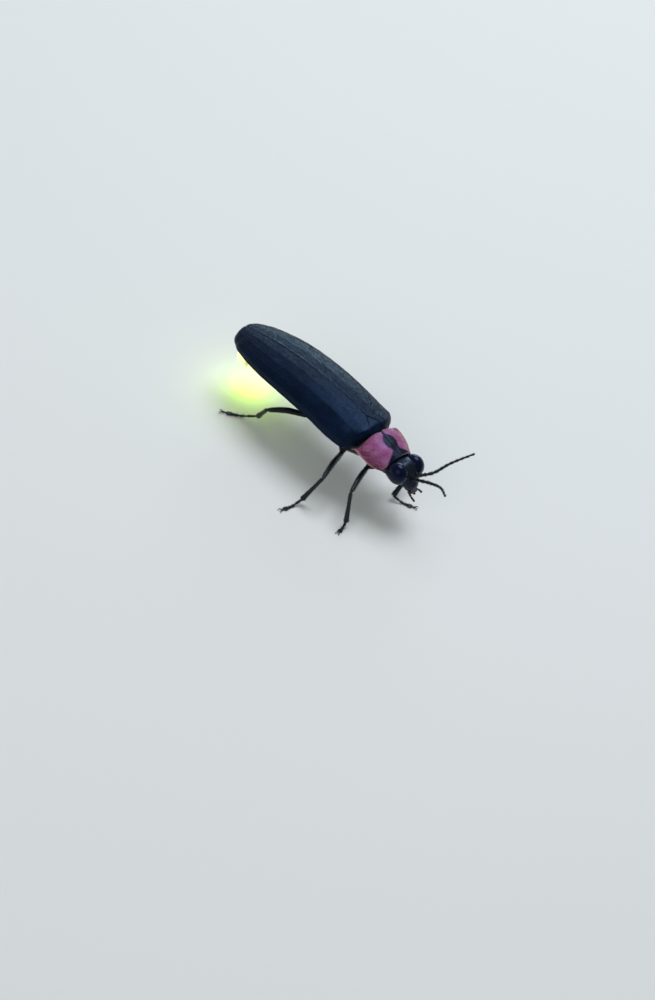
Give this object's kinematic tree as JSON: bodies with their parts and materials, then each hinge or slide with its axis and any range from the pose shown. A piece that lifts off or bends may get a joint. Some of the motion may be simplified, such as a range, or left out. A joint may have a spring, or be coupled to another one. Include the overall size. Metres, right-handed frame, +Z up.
{
  "type": "firefly",
  "caption": "Male firefly standing on six legs, with closed black wing cases, a rose neck shield, large eyes, raised antennae and a glowing lamp under the tail.",
  "frame": {"origin": "middle of the footprint's bounding box, on the floor", "axes": "head toward -Y, insect's left side toward +X, +Z up"},
  "size_m": [0.011, 0.0176, 0.0054],
  "materials": {
    "black_cuticle": "satin, finely haired",
    "brown_cuticle": "satin",
    "wing_case": "satin, finely grained and haired",
    "rose_shield": "soft gloss, dark mark along the middle",
    "eye": "glossy, finely faceted",
    "lamp": "waxy, glowing from within"
  },
  "bodies": {
    "root": {"head": "black_cuticle", "eye_left": "eye", "eye_right": "eye", "mouthparts": "brown_cuticle", "antenna_left": "black_cuticle", "antenna_right": "black_cuticle", "neck_shield": "rose_shield", "neck_ring": "brown_cuticle", "scutellum": "black_cuticle", "wing_case_left": "wing_case", "wing_case_right": "wing_case", "chest": "black_cuticle", "belly": "brown_cuticle", "lamp": "lamp", "tail_plate": "brown_cuticle", "leg_front_left": "black_cuticle", "leg_front_right": "black_cuticle", "leg_middle_left": "black_cuticle", "leg_middle_right": "black_cuticle", "leg_hind_left": "black_cuticle", "leg_hind_right": "black_cuticle"}
  },
  "joints": []
}
